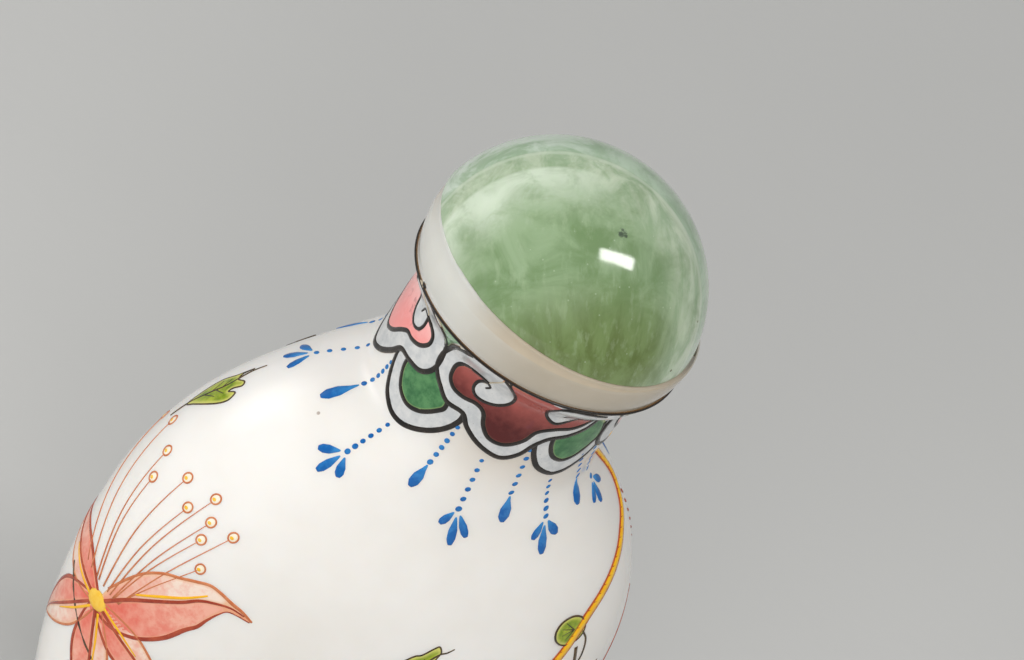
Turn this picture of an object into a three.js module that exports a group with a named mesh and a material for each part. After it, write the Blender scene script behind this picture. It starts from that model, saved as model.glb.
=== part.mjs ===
// A flattened, egg-shaped snuff bottle of white glass with a polished green jade stopper.
// Millimetres, +Z up. The origin is the middle of the foot's underside, +X runs along the
// body's wide way and -Y looks out of the main painted face.

import * as THREE from 'three';

// ---- Driving sizes -------------------------------------------------------------------------

// The body: an upright egg, flattened front to back, that stands on a small oval foot.
const bottleHeight = 54.3; // foot to the middle of the flat rim that the stopper rests on
const bodyHalfWidth = 16.9;
const bodyHalfDepth = 10.1;
const widestHeight = 25.9; // height of the body's widest section
const shoulderRise = 18.7; // from the widest section up to where the egg would close
const bellyDrop = 28.8; // from the widest section down to where the egg would close

// The foot: a low oval ring, with a shallow sunk panel under it.
const footHeight = 1.5;
const footHalfWidth = 9.2;
const footHalfDepth = 6.0;
const footRingWidth = 1.7;
const footRecess = 0.7;
const footEdge = 0.25; // rounding of the foot's corners

// The neck and its rolled lip are round.
const neckRadius = 7.48;
const neckHeight = 49.2; // height of the neck's narrowest place
const neckBlend = 1.1; // how softly the neck runs out into the shoulders
const ridgeRadius = 9.23; // the thin ridge round the top of the lip's side
const lipRoundness = 1.75; // radians of arc in the lip's side, so it is widest below the ridge
const lipDepth = 2.7; // from the rim down to the lip's lower edge
const lipUnderRadius = 8.9;
const rimRadius = 9.15; // outer edge of the flat rim
const rimBevel = 0.6; // mean height of the sloping band just outside the rim

// The rim is ground a little askew, so the stopper leans towards +X.
const rimLean = THREE.MathUtils.degToRad(4);

// The hollow: one mouth, one neck bore and the space inside the walls.
const wall = 2.0;
const floorThickness = 2.4;
const mouthRadius = 3.9;
const mouthEdge = 0.35; // rounding of the mouth's corner
const boreBottom = 47.7; // height where the straight bore starts to widen
const hollowBlend = 1.0; // how softly the bore runs out into the hollow

// The stopper: a jade cap, a little less than half a ball, flat underneath.
const stopperSphere = 9.26;
const stopperRise = 7.6; // flat underside to the top
const stopperUndercut = 1.55; // the ball's middle is this far below the underside
const stopperGap = 0.05; // the cap rests on the rim with a hair line between them
const stopperShift = -0.15; // the cap's middle lies this far along X from the bottle's axis

// How finely the round shapes are divided.
const aroundBottle = 60;
const aroundStopper = 56;
const stepsUpBody = 22;
const stepsUpNeck = 6;
const stepsUpCove = 5;
const stepsUpLip = 5;
const stepsRoundMouth = 3;
const stepsDownHollow = 17;
const stepsUpStopper = 14;

const glassWhite = new THREE.MeshStandardMaterial({ color: 0xece8e0, roughness: 0.16, metalness: 0 });
const jadeGreen = new THREE.MeshStandardMaterial({ color: 0x7f9c7b, roughness: 0.1, metalness: 0 });

// ---- Outline helpers -----------------------------------------------------------------------

// The larger of two values, rounded off where they are nearly the same.
function softMaximum(first, second, softness) {
  return 0.5 * (first + second + Math.hypot(first - second, softness));
}

// Half-width of the plain egg at a height, for a section that is halfSize wide at its widest.
function eggHalf(height, halfSize) {
  const reach = height > widestHeight ? shoulderRise : bellyDrop;
  const along = (height - widestHeight) / reach;
  return halfSize * Math.sqrt(Math.max(1 - along * along, 0));
}

// Half-width of the outside at a height between the foot and the neck's narrowest place.
function bodyHalf(height, halfSize) {
  const egg = eggHalf(height, halfSize);
  const blend = height > widestHeight ? softMaximum(egg, neckRadius, neckBlend) : egg;
  const settle = THREE.MathUtils.smoothstep(height, widestHeight, widestHeight + 0.5 * shoulderRise);
  return THREE.MathUtils.lerp(egg, blend, settle);
}

// One point of the outline: how high it is and how far it lies from the axis each way.
function station(height, halfWidth, halfDepth = halfWidth) {
  return { height, halfWidth, halfDepth };
}

// ---- Bottle outline, from the middle of the underside up, over the rim and down inside -----

function footStations() {
  const innerWidth = footHalfWidth - footRingWidth;
  const innerDepth = footHalfDepth - footRingWidth;
  const tuckWidth = eggHalf(footHeight, bodyHalfWidth);
  const tuckDepth = eggHalf(footHeight, bodyHalfDepth);
  return [
    station(footRecess, 0),
    station(footRecess, innerWidth - footEdge, innerDepth - footEdge),
    station(0, innerWidth, innerDepth),
    station(0, footHalfWidth - footEdge, footHalfDepth - footEdge),
    station(footEdge, footHalfWidth, footHalfDepth),
    station(0.7 * footHeight, footHalfWidth - footEdge, footHalfDepth - footEdge),
    station(footHeight, tuckWidth, tuckDepth),
  ];
}

// Even turns of angle up the egg, to the place where it is as narrow as the neck, then even
// steps up the neck.
function bodyHeights() {
  const footAngle = Math.asin((widestHeight - footHeight) / bellyDrop);
  const neckAngle = Math.acos(neckRadius / bodyHalfWidth);
  const heights = [];
  for (let step = 1; step <= stepsUpBody; step += 1) {
    const angle = THREE.MathUtils.lerp(-footAngle, neckAngle, step / stepsUpBody);
    const reach = angle > 0 ? shoulderRise : bellyDrop;
    heights.push(widestHeight + reach * Math.sin(angle));
  }
  const shoulderTop = heights[heights.length - 1];
  for (let step = 1; step <= stepsUpNeck; step += 1) {
    heights.push(THREE.MathUtils.lerp(shoulderTop, neckHeight, step / stepsUpNeck));
  }
  return heights;
}

function bodyStations() {
  return bodyHeights().map((height) => {
    const halfWidth = bodyHalf(height, bodyHalfWidth);
    const halfDepth = bodyHalf(height, bodyHalfDepth);
    return station(height, halfWidth, halfDepth);
  });
}

function lipStations() {
  const lipUnderside = bottleHeight - lipDepth;
  const ridgeHeight = bottleHeight - rimBevel;
  const neckTop = bodyHalf(neckHeight, bodyHalfWidth);
  const stations = [];
  for (let step = 1; step <= stepsUpCove; step += 1) {
    const rise = step / stepsUpCove;
    const flare = 0.5 - 0.5 * Math.cos(Math.PI * rise);
    const radius = THREE.MathUtils.lerp(neckTop, lipUnderRadius, flare);
    stations.push(station(THREE.MathUtils.lerp(neckHeight, lipUnderside, rise), radius));
  }
  for (let step = 1; step <= stepsUpLip; step += 1) {
    const rise = step / stepsUpLip;
    const swell = Math.sin(lipRoundness * rise) / Math.sin(lipRoundness);
    const radius = THREE.MathUtils.lerp(lipUnderRadius, ridgeRadius, swell);
    stations.push(station(THREE.MathUtils.lerp(lipUnderside, ridgeHeight, rise), radius));
  }
  stations.push(station(bottleHeight, rimRadius));
  return stations;
}

// The mouth's rounded corner, from the flat rim over and down into the bore.
function mouthStations() {
  const stations = [];
  for (let step = 0; step <= stepsRoundMouth; step += 1) {
    const angle = (0.5 * Math.PI * step) / stepsRoundMouth;
    const radius = mouthRadius + mouthEdge * (1 - Math.sin(angle));
    const height = bottleHeight - mouthEdge * (1 - Math.cos(angle));
    stations.push(station(height, radius));
  }
  return stations;
}

// Half-width of the hollow at a height: the egg less the wall, and never less than the bore
// above the widest section.
function hollowHalf(height, halfSize) {
  const inside = Math.max(eggHalf(height, halfSize) - wall, 0);
  return height > widestHeight ? softMaximum(inside, mouthRadius, hollowBlend) : inside;
}

function hollowStations() {
  const ceiling = widestHeight + shoulderRise - wall;
  const middle = 0.5 * (ceiling + floorThickness);
  const reach = 0.5 * (ceiling - floorThickness);
  const stations = [station(boreBottom, mouthRadius)];
  for (let step = 1; step < stepsDownHollow; step += 1) {
    const height = middle + reach * Math.cos((Math.PI * step) / stepsDownHollow);
    stations.push(station(height, hollowHalf(height, bodyHalfWidth), hollowHalf(height, bodyHalfDepth)));
  }
  stations.push(station(floorThickness, 0));
  return stations;
}

// ---- Solids --------------------------------------------------------------------------------

// Turns an outline about the upright axis, then presses each ring to its own depth.
function turnedSolid(stations, around) {
  const outline = stations.map(({ halfWidth, height }) => new THREE.Vector2(halfWidth, height));
  const geometry = new THREE.LatheGeometry(outline, around);
  geometry.rotateX(0.5 * Math.PI);
  const position = geometry.getAttribute('position');
  for (let index = 0; index < position.count; index += 1) {
    const { halfWidth, halfDepth } = stations[index % stations.length];
    const flattening = halfWidth > 0 ? halfDepth / halfWidth : 1;
    position.setY(index, position.getY(index) * flattening);
  }
  geometry.computeVertexNormals();
  return geometry;
}

// Slants everything above the ridge, so that the flat rim falls away towards +X.
function slantRim(geometry) {
  const position = geometry.getAttribute('position');
  const ridgeHeight = bottleHeight - rimBevel;
  for (let index = 0; index < position.count; index += 1) {
    const height = position.getZ(index);
    const share = THREE.MathUtils.clamp((height - ridgeHeight) / rimBevel, 0, 1);
    position.setZ(index, height - share * Math.tan(rimLean) * position.getX(index));
  }
  geometry.computeVertexNormals();
}

function bottle() {
  const outline = [
    ...footStations(),
    ...bodyStations(),
    ...lipStations(),
    ...mouthStations(),
    ...hollowStations(),
  ];
  const geometry = turnedSolid(outline, aroundBottle);
  slantRim(geometry);
  const mesh = new THREE.Mesh(geometry, glassWhite);
  mesh.name = 'bottle';
  return mesh;
}

function stopper() {
  const outline = [station(0, 0)];
  const crown = stopperRise + stopperUndercut;
  const startAngle = Math.asin(stopperUndercut / crown);
  for (let step = 0; step <= stepsUpStopper; step += 1) {
    const angle = THREE.MathUtils.lerp(startAngle, 0.5 * Math.PI, step / stepsUpStopper);
    const radius = step === stepsUpStopper ? 0 : stopperSphere * Math.cos(angle);
    outline.push(station(crown * Math.sin(angle) - stopperUndercut, radius));
  }
  const mesh = new THREE.Mesh(turnedSolid(outline, aroundStopper), jadeGreen);
  mesh.name = 'stopper';
  mesh.position.x = stopperShift;
  mesh.position.z = bottleHeight - Math.tan(rimLean) * stopperShift + stopperGap;
  mesh.rotation.y = rimLean;
  return mesh;
}

const snuffBottle = new THREE.Group();
snuffBottle.add(bottle(), stopper());

export default snuffBottle;
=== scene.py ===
"""A white glass snuff bottle with painted enamels and a green jade stopper, on a pale floor.

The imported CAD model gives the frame. The bottle and the stopper are rebuilt here with finer
surfaces on the same outline, and the enamel painting is laid on the glass as thin raised mesh.
Lengths are in millimetres until a mesh is made, where they are turned into metres.
"""

import math
import random

import bmesh
import bpy
import numpy as np
from mathutils import Matrix, Vector
from mathutils.geometry import delaunay_2d_cdt


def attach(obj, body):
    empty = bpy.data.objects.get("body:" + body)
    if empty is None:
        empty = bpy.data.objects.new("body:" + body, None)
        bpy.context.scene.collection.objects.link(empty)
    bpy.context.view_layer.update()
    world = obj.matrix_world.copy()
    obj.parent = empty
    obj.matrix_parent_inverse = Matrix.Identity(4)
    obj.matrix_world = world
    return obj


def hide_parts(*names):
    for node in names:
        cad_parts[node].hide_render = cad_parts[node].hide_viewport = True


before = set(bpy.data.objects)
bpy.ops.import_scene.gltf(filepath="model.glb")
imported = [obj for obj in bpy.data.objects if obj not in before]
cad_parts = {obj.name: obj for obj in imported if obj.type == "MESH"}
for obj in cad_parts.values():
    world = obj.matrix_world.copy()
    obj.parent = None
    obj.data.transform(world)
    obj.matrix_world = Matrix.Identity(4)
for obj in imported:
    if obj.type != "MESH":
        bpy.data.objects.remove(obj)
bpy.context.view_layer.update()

MM = 0.001
random.seed(7)

# ---- Sizes, the same as in the CAD part ----------------------------------------------------

BODY_HALF_WIDTH = 16.9
BODY_HALF_DEPTH = 10.1
BOTTLE_HEIGHT = 54.3  # foot to the middle of the rim
WIDEST_HEIGHT = 25.9
SHOULDER_RISE = 18.7
BELLY_DROP = 28.8

FOOT_HEIGHT = 1.5
FOOT_HALF_WIDTH = 9.2
FOOT_HALF_DEPTH = 6.0
FOOT_RING_WIDTH = 1.7
FOOT_RECESS = 0.7

NECK_RADIUS = 7.48
NECK_HEIGHT = 49.2
NECK_BLEND = 1.1
RIDGE_RADIUS = 9.23
LIP_ROUNDNESS = 1.75  # radians of arc in the lip's side
LIP_DEPTH = 2.7
LIP_UNDER_RADIUS = 8.9
RIM_RADIUS = 9.15
RIM_BEVEL = 0.6
RIM_LEAN = math.radians(4)

WALL = 2.0
FLOOR_THICKNESS = 2.4
MOUTH_RADIUS = 3.9
MOUTH_EDGE = 0.35
BORE_BOTTOM = 47.7
HOLLOW_BLEND = 1.0

STOPPER_SPHERE = 9.26
STOPPER_RISE = 7.6
STOPPER_UNDERCUT = 1.55
STOPPER_EDGE = 0.12  # rounding of the cap's lower edge
STOPPER_GAP = 0.05
STOPPER_SHIFT = -0.15

LIP_UNDERSIDE = BOTTLE_HEIGHT - LIP_DEPTH
RIDGE_HEIGHT = BOTTLE_HEIGHT - RIM_BEVEL

# Heights in the painting are given as drops below this level, just above the rim.
PAINT_TOP = 54.4

# ---- The camera's place --------------------------------------------------------------------

CAMERA_TILT = math.radians(35.165)  # looking down
CAMERA_TURN = math.radians(-26.933)  # from the main face towards -X
CAMERA_ROLL = math.radians(35.405)
CAMERA_DISTANCE = 540.0
CAMERA_LENS = 316.4
CAMERA_RIGHT = -3.25  # the lip's middle lies this far to the right of the view's middle
CAMERA_UP = -3.08

# ---- Outline of the skin -------------------------------------------------------------------

TINY = 1e-9


def soft_maximum(first, second, softness):
    """The larger of two values, rounded off where they are nearly the same."""
    return 0.5 * (first + second + np.hypot(first - second, softness))


def smooth_step(value, low, high):
    share = np.clip((value - low) / (high - low), 0, 1)
    return share * share * (3 - 2 * share)


def egg_half(height, half_size):
    reach = np.where(height > WIDEST_HEIGHT, SHOULDER_RISE, BELLY_DROP)
    along = (height - WIDEST_HEIGHT) / reach
    return half_size * np.sqrt(np.maximum(1 - along * along, 0))


def body_half(height, half_size):
    """Half-width of the egg and the neck it runs out into."""
    egg = egg_half(height, half_size)
    blend = np.where(height > WIDEST_HEIGHT, soft_maximum(egg, NECK_RADIUS, NECK_BLEND), egg)
    settle = smooth_step(height, WIDEST_HEIGHT, WIDEST_HEIGHT + 0.5 * SHOULDER_RISE)
    return egg + (blend - egg) * settle


def cove_radius(height):
    """The hollow curve from the neck out to the lip's underside."""
    neck_top = body_half(np.array(NECK_HEIGHT), BODY_HALF_WIDTH)
    rise = np.clip((height - NECK_HEIGHT) / (LIP_UNDERSIDE - NECK_HEIGHT), 0, 1)
    return neck_top + (LIP_UNDER_RADIUS - neck_top) * (0.5 - 0.5 * np.cos(math.pi * rise))


def lip_radius(height):
    rise = np.clip((height - LIP_UNDERSIDE) / (RIDGE_HEIGHT - LIP_UNDERSIDE), 0, 1)
    swell = np.sin(LIP_ROUNDNESS * rise) / math.sin(LIP_ROUNDNESS)
    return LIP_UNDER_RADIUS + (RIDGE_RADIUS - LIP_UNDER_RADIUS) * swell


def outside_half(height, half_size):
    height = np.asarray(height, float)
    upper = np.where(height < LIP_UNDERSIDE, cove_radius(height), lip_radius(height))
    return np.where(height < NECK_HEIGHT, body_half(height, half_size), upper)


def skin(azimuth, drop):
    """Points of the glass's outside: azimuth in degrees from the main face (-Y) towards +X."""
    azimuth, drop = np.broadcast_arrays(np.asarray(azimuth, float), np.asarray(drop, float))
    height = PAINT_TOP - drop
    turn = np.radians(azimuth - 90)
    across, into = np.cos(turn), np.sin(turn)
    half_width = outside_half(height, BODY_HALF_WIDTH)
    half_depth = outside_half(height, BODY_HALF_DEPTH)
    radius = 1 / np.hypot(across / half_width, into / half_depth)
    return np.stack([radius * across, radius * into, height], axis=-1)


def unit(vectors):
    return vectors / np.linalg.norm(vectors, axis=-1, keepdims=True)


def skin_normal(azimuth, drop):
    azimuth, drop = np.asarray(azimuth, float), np.asarray(drop, float)
    across = skin(azimuth + 0.1, drop) - skin(azimuth - 0.1, drop)
    upward = skin(azimuth, drop - 0.02) - skin(azimuth, drop + 0.02)
    return unit(np.cross(across, upward))


def chart_scale(azimuth, drop):
    """Millimetres on the glass for one degree of azimuth and for one millimetre of drop."""
    across = skin(azimuth + 0.5, drop) - skin(azimuth - 0.5, drop)
    down = skin(azimuth, drop + 0.1) - skin(azimuth, drop - 0.1)
    return float(np.linalg.norm(across)), float(np.linalg.norm(down)) / 0.2


# ---- Mesh helpers --------------------------------------------------------------------------


def mesh_object(name, points, faces, material, edge=None, along=None):
    """Makes a smooth object from points in millimetres, with its normals facing out."""
    mesh = bpy.data.meshes.new(name)
    mesh.from_pydata([tuple(point) for point in np.asarray(points) * MM], [], faces)
    for label, values in (("edge", edge), ("along", along)):
        if values is not None:
            attribute = mesh.attributes.new(label, "FLOAT", "POINT")
            attribute.data.foreach_set("value", np.asarray(values, np.float32))
    shape = bmesh.new()
    shape.from_mesh(mesh)
    bmesh.ops.recalc_face_normals(shape, faces=shape.faces)
    shape.to_mesh(mesh)
    shape.free()
    mesh.shade_smooth()
    mesh.materials.append(material)
    piece = bpy.data.objects.new(name, mesh)
    bpy.context.scene.collection.objects.link(piece)
    return piece


def turned(stations, around):
    """Points and faces of an outline turned about Z. A station is height, half-width, half-depth."""
    points = []
    rings = []
    for height, half_width, half_depth in stations:
        start = len(points)
        if half_width <= 0:
            points.append((0, 0, height))
            rings.append([start] * around)
            continue
        for step in range(around):
            angle = 2 * math.pi * step / around
            points.append((half_width * math.cos(angle), half_depth * math.sin(angle), height))
        rings.append([start + step for step in range(around)])
    faces = []
    for lower, upper in zip(rings, rings[1:]):
        for step in range(around):
            after = (step + 1) % around
            corners = [lower[step], lower[after], upper[after], upper[step]]
            faces.append(list(dict.fromkeys(corners)))
    return np.array(points), faces


def rounded_path(corners, radius, steps=5):
    """A path of stations whose inner corners are rounded off."""
    corners = [np.array(corner, float) for corner in corners]
    path = [corners[0]]
    for before, corner, after in zip(corners, corners[1:], corners[2:]):
        back, ahead = before - corner, after - corner
        start = corner + back * min(0.45, radius / np.linalg.norm(back))
        end = corner + ahead * min(0.45, radius / np.linalg.norm(ahead))
        for step in range(steps + 1):
            share = step / steps
            bend = (1 - share) ** 2 * start + 2 * share * (1 - share) * corner + share**2 * end
            path.append(bend)
    path.append(corners[-1])
    return [tuple(place) for place in path]


# ---- The glass bottle and the jade stopper -------------------------------------------------

AROUND_BOTTLE = 192
AROUND_STOPPER = 240
BODY_RINGS = 84
NECK_RINGS = 26
COVE_RINGS = 16
LIP_RINGS = 14
BEVEL_RINGS = 4
MOUTH_RINGS = 8
HOLLOW_RINGS = 44
STOPPER_RINGS = 60

FOOT_ROUNDING = 0.3  # rounding of the foot's corners
PANEL_MARGIN = 0.2  # how much smaller the sunk panel is than the ring's inside
UNDERSIDE_RING = 4.0  # radius of a ring of points on the cap's flat underside
BEVEL_SAG = 0.05  # how hollow the sloping band outside the rim is


def foot_stations():
    ring_width = FOOT_HALF_WIDTH - FOOT_RING_WIDTH
    ring_depth = FOOT_HALF_DEPTH - FOOT_RING_WIDTH
    tuck_width = float(egg_half(FOOT_HEIGHT, BODY_HALF_WIDTH))
    tuck_depth = float(egg_half(FOOT_HEIGHT, BODY_HALF_DEPTH))
    corners = [
        (FOOT_RECESS, 0, 0),
        (FOOT_RECESS, ring_width - PANEL_MARGIN, ring_depth - PANEL_MARGIN),
        (0, ring_width, ring_depth),
        (0, FOOT_HALF_WIDTH, FOOT_HALF_DEPTH),
        (0.6 * FOOT_HEIGHT, FOOT_HALF_WIDTH, FOOT_HALF_DEPTH),
        (FOOT_HEIGHT, tuck_width, tuck_depth),
    ]
    return rounded_path(corners, FOOT_ROUNDING)


def hollow_half(height, half_size):
    inside = max(float(egg_half(height, half_size)) - WALL, 0)
    return float(soft_maximum(inside, MOUTH_RADIUS, HOLLOW_BLEND)) if height > WIDEST_HEIGHT else inside


def outside_stations():
    """The outside, from the foot up to the ridge round the lip."""
    foot_angle = math.asin((WIDEST_HEIGHT - FOOT_HEIGHT) / BELLY_DROP)
    neck_angle = math.acos(NECK_RADIUS / BODY_HALF_WIDTH)
    heights = []
    for step in range(1, BODY_RINGS + 1):
        angle = -foot_angle + (foot_angle + neck_angle) * step / BODY_RINGS
        reach = SHOULDER_RISE if angle > 0 else BELLY_DROP
        heights.append(WIDEST_HEIGHT + reach * math.sin(angle))
    for top, rings in ((NECK_HEIGHT, NECK_RINGS), (LIP_UNDERSIDE, COVE_RINGS), (RIDGE_HEIGHT, LIP_RINGS)):
        heights += list(np.linspace(heights[-1], top, rings)[1:])
    stations = []
    for height in heights:
        half_width = float(outside_half(height, BODY_HALF_WIDTH))
        half_depth = float(outside_half(height, BODY_HALF_DEPTH))
        stations.append((height, half_width, half_depth))
    return stations


def rim_stations():
    """The sloping band, the flat rim and the mouth's rounded corner."""
    stations = []
    for step in range(1, BEVEL_RINGS + 1):
        share = step / BEVEL_RINGS
        radius = RIDGE_RADIUS + (RIM_RADIUS - RIDGE_RADIUS) * share - BEVEL_SAG * math.sin(math.pi * share)
        stations.append((RIDGE_HEIGHT + RIM_BEVEL * share, radius, radius))
    for step in range(MOUTH_RINGS + 1):
        angle = 0.5 * math.pi * step / MOUTH_RINGS
        radius = MOUTH_RADIUS + MOUTH_EDGE * (1 - math.sin(angle))
        stations.append((BOTTLE_HEIGHT - MOUTH_EDGE * (1 - math.cos(angle)), radius, radius))
    return stations


def hollow_stations():
    """The bore and the hollow, down to the middle of the floor."""
    ceiling = WIDEST_HEIGHT + SHOULDER_RISE - WALL
    middle, reach = 0.5 * (ceiling + FLOOR_THICKNESS), 0.5 * (ceiling - FLOOR_THICKNESS)
    stations = [(BORE_BOTTOM, MOUTH_RADIUS, MOUTH_RADIUS)]
    for step in range(1, HOLLOW_RINGS):
        height = middle + reach * math.cos(math.pi * step / HOLLOW_RINGS)
        half_width = hollow_half(height, BODY_HALF_WIDTH)
        stations.append((height, half_width, hollow_half(height, BODY_HALF_DEPTH)))
    stations.append((FLOOR_THICKNESS, 0, 0))
    return stations


def make_bottle(material):
    stations = foot_stations() + outside_stations() + rim_stations() + hollow_stations()
    points, faces = turned(stations, AROUND_BOTTLE)
    share = np.clip((points[:, 2] - RIDGE_HEIGHT) / RIM_BEVEL, 0, 1)
    points[:, 2] -= share * math.tan(RIM_LEAN) * points[:, 0]
    return mesh_object("glass_bottle", points, faces, material)


def stopper_stations():
    crown = STOPPER_RISE + STOPPER_UNDERCUT
    start = math.asin(STOPPER_UNDERCUT / crown)
    stations = []
    for step in range(STOPPER_RINGS + 1):
        angle = start + (0.5 * math.pi - start) * step / STOPPER_RINGS
        radius = STOPPER_SPHERE * math.cos(angle) if step < STOPPER_RINGS else 0
        stations.append((crown * math.sin(angle) - STOPPER_UNDERCUT, radius, radius))
    underside = (0, UNDERSIDE_RING, UNDERSIDE_RING)
    edge = rounded_path([underside, stations[0], stations[1]], STOPPER_EDGE, 3)
    return [(0, 0, 0)] + edge[:-1] + stations[1:]


def stopper_place():
    """The cap's middle in the bottle's frame, in millimetres."""
    return np.array([STOPPER_SHIFT, 0, BOTTLE_HEIGHT - math.tan(RIM_LEAN) * STOPPER_SHIFT + STOPPER_GAP])


# An old flake scar at the cap's lower left: its middle, radius and depth.
SCAR_MIDDLE = (-7.75, -4.9, 55.1)
SCAR_RADIUS = 1.3
SCAR_DEPTH = 0.07


def flaked(points):
    """Presses the shallow, sharp-edged flake scar into the cap."""
    away = np.linalg.norm(points - np.array(SCAR_MIDDLE), axis=1) / SCAR_RADIUS
    depth = SCAR_DEPTH * np.sqrt(np.clip(1 - away**4, 0, 1))
    inward = unit(stopper_place() - points + TINY)
    return points + inward * depth[:, None]


def make_stopper(material):
    points, faces = turned(stopper_stations(), AROUND_STOPPER)
    lean = np.array(Matrix.Rotation(RIM_LEAN, 3, "Y"))
    return mesh_object("jade_stopper", flaked(points @ lean.T + stopper_place()), faces, material)


# ---- Enamel: filled shapes, brush strokes and dots laid on the glass -----------------------

SUNK = -0.03  # the underside of the enamel lies this far inside the glass
FILL_SPACING = 0.26
RIM_ROW = 0.05  # a row of points this far inside the outline rounds the enamel's edge
RIM_SHARE = 0.35  # how high the enamel stands at its outline, as a share of its thickness
DOME_REACH = 4 * RIM_ROW  # how far in from the outline it reaches its full thickness
FULL_HALF_WIDTH = 0.08  # a stroke narrower than twice this is thinner too
COAT = 0.03  # thickness of a filled patch
LINE = 0.035  # thickness of a line on or beside it
OVER = 0.01  # how far a line lies above the patch that it edges
ON_RIM = 1e-4  # nearer to the outline than this counts as on it


class Enamel:
    """All the enamel of one colour: closed raised shapes that become one piece."""

    def __init__(self, name, material):
        self.name = name
        self.material = material
        self.points = []
        self.faces = []
        self.edge = []
        self.along = []

    def add(self, points, faces, edge, along):
        start = len(self.edge)
        self.points.append(np.asarray(points))
        self.faces += [[start + corner for corner in face] for face in faces]
        self.edge += list(edge)
        self.along += list(along)

    def make(self):
        points = np.concatenate(self.points)
        return mesh_object(self.name, points, self.faces, self.material, self.edge, self.along)


def curve_through(points, closed=False, steps=6):
    """A smooth curve through given points."""
    points = np.asarray(points, float)
    count = len(points)
    spans = count if closed else count - 1
    curve = []
    for span in range(spans):
        picks = [span - 1, span, span + 1, span + 2]
        picks = [pick % count if closed else min(max(pick, 0), count - 1) for pick in picks]
        before, start, end, after = points[picks]
        for step in range(steps):
            share = step / steps
            curve.append(
                0.5
                * (
                    2 * start
                    + (end - before) * share
                    + (2 * before - 5 * start + 4 * end - after) * share**2
                    + (3 * start - before - 3 * end + after) * share**3
                )
            )
    if not closed:
        curve.append(points[-1])
    return np.array(curve)


def inside_loop(places, loop):
    """Which places lie inside a closed loop."""
    inside = np.zeros(len(places), bool)
    for start, end in zip(loop, np.roll(loop, -1, axis=0)):
        crosses = (start[1] > places[:, 1]) != (end[1] > places[:, 1])
        rise = end[1] - start[1]
        reach = start[0] + (places[:, 1] - start[1]) * (end[0] - start[0]) / (rise if rise else 1)
        inside ^= crosses & (places[:, 0] < reach)
    return inside


def distance_to_loop(places, loop):
    nearest = np.full(len(places), 1e9)
    for start, end in zip(loop, np.roll(loop, -1, axis=0)):
        span = end - start
        length = max(float(span @ span), 1e-12)
        share = np.clip((places - start) @ span / length, 0, 1)
        gap = np.linalg.norm(places - start - share[:, None] * span, axis=1)
        nearest = np.minimum(nearest, gap)
    return nearest


def points_inside(flat):
    """Evenly spread points inside a loop, with a close row of points along it."""
    low, high = flat.min(axis=0), flat.max(axis=0)
    rows = []
    row_gap = FILL_SPACING * math.sqrt(0.75)
    for row, level in enumerate(np.arange(low[1], high[1], row_gap)):
        shift = 0.5 * FILL_SPACING * (row % 2)
        rows += [(along, level) for along in np.arange(low[0] + shift, high[0], FILL_SPACING)]
    grid = np.array(rows)
    grid = grid[inside_loop(grid, flat)]
    grid = grid[distance_to_loop(grid, flat) > 0.5 * FILL_SPACING + RIM_ROW]
    ahead = unit(np.roll(flat, -1, axis=0) - np.roll(flat, 1, axis=0) + TINY)
    for sideways in (-RIM_ROW, RIM_ROW):
        row = flat + sideways * np.stack([-ahead[:, 1], ahead[:, 0]], axis=1)
        row = row[inside_loop(row, flat)]
        if len(row):
            grid = np.concatenate([grid, row[distance_to_loop(row, flat) > 0.9 * RIM_ROW]])
    return grid


def closed_faces(top_faces, gap):
    """Adds the underside and the rim's side faces to the faces of a patch's top."""
    count = len(gap)
    faces = top_faces + [[corner + count for corner in reversed(face)] for face in top_faces]
    sides = [pair for face in top_faces for pair in zip(face, face[1:] + face[:1])]
    used = set(sides)
    for first, second in dict.fromkeys(sides):
        if (second, first) not in used and max(gap[first], gap[second]) < ON_RIM:
            faces.append([second, first, first + count, second + count])
    return faces


def fill(enamel, outline, lift=0.0, thickness=COAT, curved=True, along_axis=(0, -1)):
    """A domed patch of enamel inside a closed outline of (azimuth, drop) places.

    along_axis is the way, to the right and up, in which the mesh's "along" value rises."""
    loop = curve_through(outline, closed=True, steps=5) if curved else np.asarray(outline, float)
    middle = loop.mean(axis=0)
    per_degree, per_drop = chart_scale(*middle)
    scale = np.array([per_degree, -per_drop])
    flat = (loop - middle) * scale
    grid = points_inside(flat)
    places = np.concatenate([flat, grid]) if len(grid) else flat
    result = delaunay_2d_cdt([Vector(place) for place in places], [], [list(range(len(flat)))], 1, 1e-6)
    vertices = np.array([tuple(vertex) for vertex in result[0]])
    gap = distance_to_loop(vertices, flat)
    inward = 1 - np.minimum(gap / DOME_REACH, 1)
    dome = RIM_SHARE + (1 - RIM_SHARE) * np.sqrt(np.clip(1 - inward**2, 0, 1))
    chart = vertices / scale + middle
    surface = skin(chart[:, 0], chart[:, 1])
    normal = skin_normal(chart[:, 0], chart[:, 1])
    top = surface + normal * (lift + thickness * dome)[:, None]
    bottom = surface + normal * SUNK
    faces = closed_faces([list(face) for face in result[2]], gap)
    reach = vertices @ np.array(along_axis, float)
    along = (reach - reach.min()) / max(float(np.ptp(reach)), TINY)
    enamel.add(np.concatenate([top, bottom]), faces, np.tile(gap, 2), np.tile(along, 2))


# Half a stroke's cross-section: how far across and how high, as shares.
SECTION = ((-1.0, 0.0), (-0.72, 0.62), (0.0, 1.0), (0.72, 0.62), (1.0, 0.0))


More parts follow.
